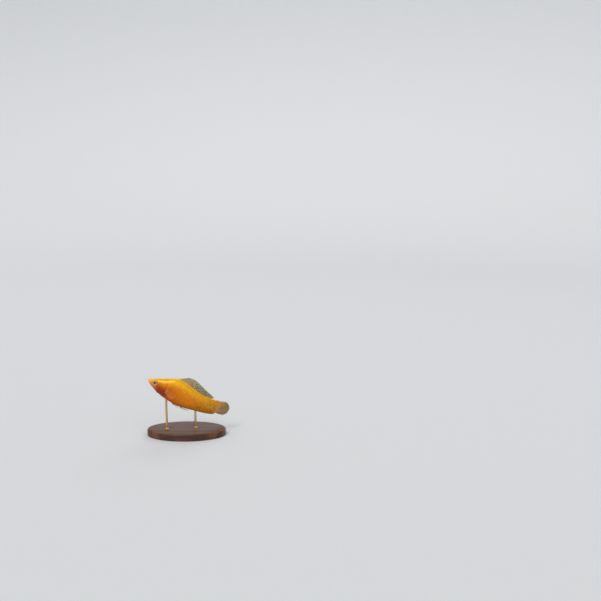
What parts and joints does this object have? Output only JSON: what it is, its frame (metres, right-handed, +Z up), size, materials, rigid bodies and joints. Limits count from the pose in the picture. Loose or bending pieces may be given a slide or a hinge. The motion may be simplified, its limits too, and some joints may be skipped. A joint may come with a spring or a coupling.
{
  "type": "life-size model of a sailfin molly on a display stand",
  "caption": "Still, life-size model of a gold male sailfin molly, head raised and tail swung to its right, held over an oval base by rods.",
  "frame": {"origin": "middle of the flat underside of the stand's base", "axes": "+Z up; the fish's head points to -X and its left flank to -Y, with the tail swung towards +Y"},
  "size_m": [0.074, 0.0446, 0.0541],
  "materials": {
    "skin_head": "yellow to deep orange scaled skin, as a painted cast",
    "skin_gill_cover": "red-brown to orange skin over the gill cover",
    "skin_body": "golden orange scaled skin, paler along the back",
    "fin_spotted": "thin rayed membrane, mottled brown, olive and pale, clear at its edge",
    "fin_clear": "thin rayed membrane, pale orange",
    "fin_pale": "thin rayed membrane, pale bluish white",
    "eye": "glossy eye, maroon pupil in a tan iris with a dark rim",
    "stand_wood": "dark stained wood, satin",
    "stand_brass": "brushed brass"
  },
  "bodies": {
    "root": {"head": "skin_head", "lower_jaw": "skin_head", "gill_cover_left": "skin_gill_cover", "gill_cover_right": "skin_gill_cover", "torso": "skin_body", "tail_stalk": "skin_body", "dorsal_fin": "fin_spotted", "tail_fin": "fin_spotted", "pectoral_fin_left": "fin_clear", "pectoral_fin_right": "fin_clear", "pelvic_fin_left": "fin_pale", "pelvic_fin_right": "fin_pale", "gonopodium": "fin_pale", "eye_left": "eye", "eye_right": "eye", "stand_base": "stand_wood", "stand_rod_front": "stand_brass", "stand_rod_rear": "stand_brass"}
  },
  "joints": []
}
